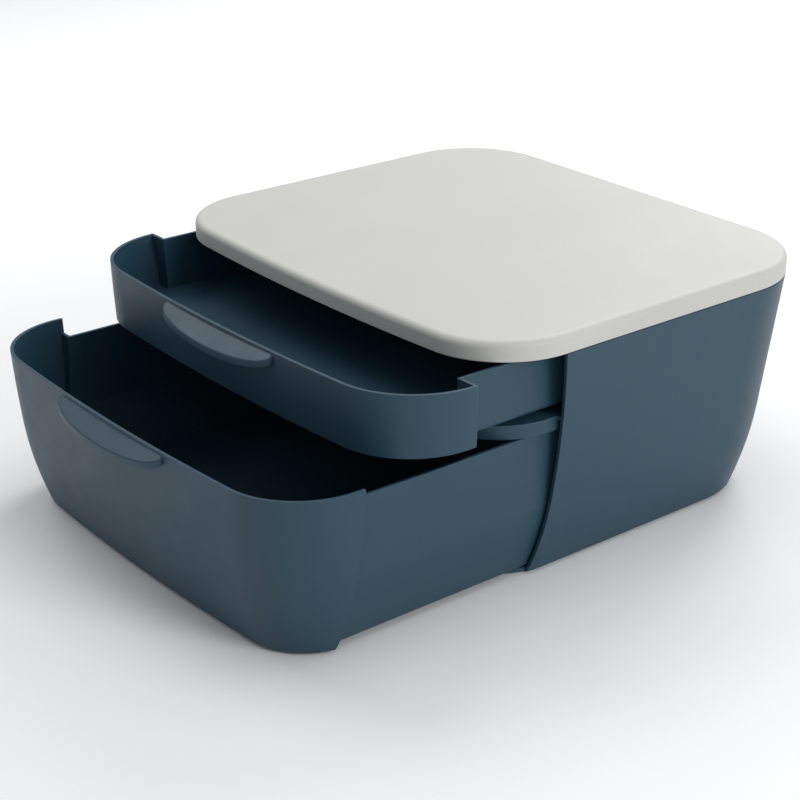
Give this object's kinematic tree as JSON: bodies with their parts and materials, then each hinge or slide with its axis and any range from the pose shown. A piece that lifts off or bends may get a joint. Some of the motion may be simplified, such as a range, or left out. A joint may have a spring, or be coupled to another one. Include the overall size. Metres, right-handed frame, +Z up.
{
  "type": "desktop file box with drawers",
  "caption": "Tapered desktop file box with a flat lid and sliding drawers stacked one above the other, each with a hooded finger pull and a bowed, rounded front.",
  "frame": {"origin": "centre of the casing's flat underside, below the centre of the lid", "axes": "+X to the right as seen from the front, +Y to the back, so the drawers pull out along -Y; +Z up through the lid"},
  "size_m": [0.38, 0.4918, 0.1795],
  "materials": {
    "casing_plastic": "petrol blue moulded plastic with a fine matte grain",
    "lid_plastic": "warm light grey moulded plastic with a fine matte grain",
    "pad_rubber": "soft black"
  },
  "bodies": {
    "box": {"casing": "casing_plastic", "lid": "lid_plastic", "shelf": "casing_plastic", "foot_front_left": "pad_rubber", "foot_front_right": "pad_rubber", "foot_back_left": "pad_rubber", "foot_back_right": "pad_rubber"},
    "upper": {"upper_drawer": "casing_plastic"},
    "lower": {"lower_drawer": "casing_plastic"}
  },
  "joints": [
    {"name": "upper_drawer_slide", "type": "slide", "parent": "box", "child": "upper", "axis": [0, -1, 0], "range_m": [-0.074, 0.126]},
    {"name": "lower_drawer_slide", "type": "slide", "parent": "box", "child": "lower", "axis": [0, -1, 0], "range_m": [-0.161, 0.039]}
  ]
}
